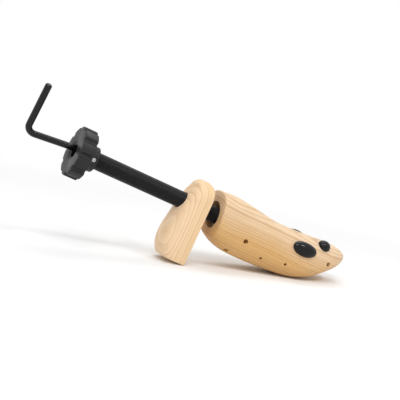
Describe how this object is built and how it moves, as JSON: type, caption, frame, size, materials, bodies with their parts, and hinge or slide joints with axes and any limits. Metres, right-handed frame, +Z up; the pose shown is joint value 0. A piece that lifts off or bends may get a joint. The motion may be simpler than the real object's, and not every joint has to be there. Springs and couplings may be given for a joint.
{
  "type": "two-way shoe stretcher",
  "caption": "Wooden two-way shoe stretcher for high heels: split last with bunion plugs, heel block on a black threaded tube, star knob and bent crank rod",
  "frame": {"origin": "middle of the heel block's flat foot", "axes": "+X runs towards the toe, along the stretcher's length; +Y is the left side of the last; +Z is up when the stretcher stands on the foot's front edge and the ball of the last"},
  "size_m": [0.3898, 0.0772, 0.161],
  "materials": {
    "last_wood": "oiled, fine grain along the last",
    "block_wood": "oiled, grain upright",
    "black_steel": "black oxide, satin",
    "knob_plastic": "moulded, fine texture",
    "plug_plastic": "gloss black",
    "steel": "bright",
    "cage_alloy": "die cast",
    "nut_brass": "turned",
    "bush_plastic": "natural acetal"
  },
  "bodies": {
    "spreader": {"spreader_cage": "cage_alloy", "collar_bush": "bush_plastic", "thrust_washer": "bush_plastic", "rod_nut": "nut_brass", "rear_guide_pins": "steel", "front_guide_pin": "steel", "rear_return_spring": "steel", "front_return_spring": "steel"},
    "screw_tube": {"threaded_tube": "black_steel", "tube_circlip": "steel", "star_knob": "knob_plastic", "knob_grub_screws": "steel"},
    "heel": {"heel_block": "block_wood", "heel_nut": "black_steel", "heel_nut_screws": "steel"},
    "wedge": {"spreader_wedge": "cage_alloy"},
    "crank": {"crank_rod": "black_steel", "rod_clip": "steel"},
    "right_side": {"last_half_right": "last_wood", "ramp_plate_right": "steel", "ramp_screws_right": "steel", "spring_hooks_right": "steel"},
    "left_side": {"last_half_left": "last_wood", "ramp_plate_left": "steel", "ramp_screws_left": "steel", "spring_hooks_left": "steel"},
    "long_plug": {"plug_long_right": "plug_plastic"},
    "round_plug": {"plug_round_right": "plug_plastic"},
    "upper_plug": {"plug_upper_left": "plug_plastic"},
    "lower_plug": {"plug_lower_left": "plug_plastic"}
  },
  "joints": [
    {"name": "tube_spin", "type": "hinge", "parent": "spreader", "child": "screw_tube", "pos_m": [0.04198, 0, 0.05314], "axis": [0.9678, 0, -0.2518], "range_deg": [-2400, 21600]},
    {"name": "heel_slide", "type": "slide", "parent": "spreader", "child": "heel", "axis": [-0.9678, 0, 0.2518], "range_m": [-0.01, 0.09]},
    {"name": "wedge_slide", "type": "slide", "parent": "spreader", "child": "wedge", "axis": [0.9678, 0, -0.2518], "range_m": [0, 0.026]},
    {"name": "crank_spin", "type": "hinge", "parent": "wedge", "child": "crank", "pos_m": [0.04198, 0, 0.05314], "axis": [0.9678, 0, -0.2518], "range_deg": [0, 7488]},
    {"name": "right_spread", "type": "slide", "parent": "spreader", "child": "right_side", "axis": [0, -1, 0], "range_m": [0, 0.006]},
    {"name": "left_spread", "type": "slide", "parent": "spreader", "child": "left_side", "axis": [0, 1, 0], "range_m": [0, 0.006]},
    {"name": "long_plug_pull", "type": "slide", "parent": "right_side", "child": "long_plug", "axis": [-0.0344, -0.9356, 0.3513], "range_m": [0, 0.012]},
    {"name": "round_plug_pull", "type": "slide", "parent": "right_side", "child": "round_plug", "axis": [0.1449, -0.5404, 0.8288], "range_m": [0, 0.012]},
    {"name": "upper_plug_pull", "type": "slide", "parent": "left_side", "child": "upper_plug", "axis": [0.1413, 0.5838, 0.7995], "range_m": [0, 0.012]},
    {"name": "lower_plug_pull", "type": "slide", "parent": "left_side", "child": "lower_plug", "axis": [0.091, 0.9956, -0.0243], "range_m": [0, 0.012]}
  ],
  "couplings": [
    {"joint": "tube_spin", "follows": "heel_slide", "rad_per_m": 4188.8},
    {"joint": "crank_spin", "follows": "wedge_slide", "rad_per_m": 5026.5},
    {"joint": "right_spread", "follows": "wedge_slide", "ratio": 0.23077},
    {"joint": "left_spread", "follows": "wedge_slide", "ratio": 0.23077}
  ]
}
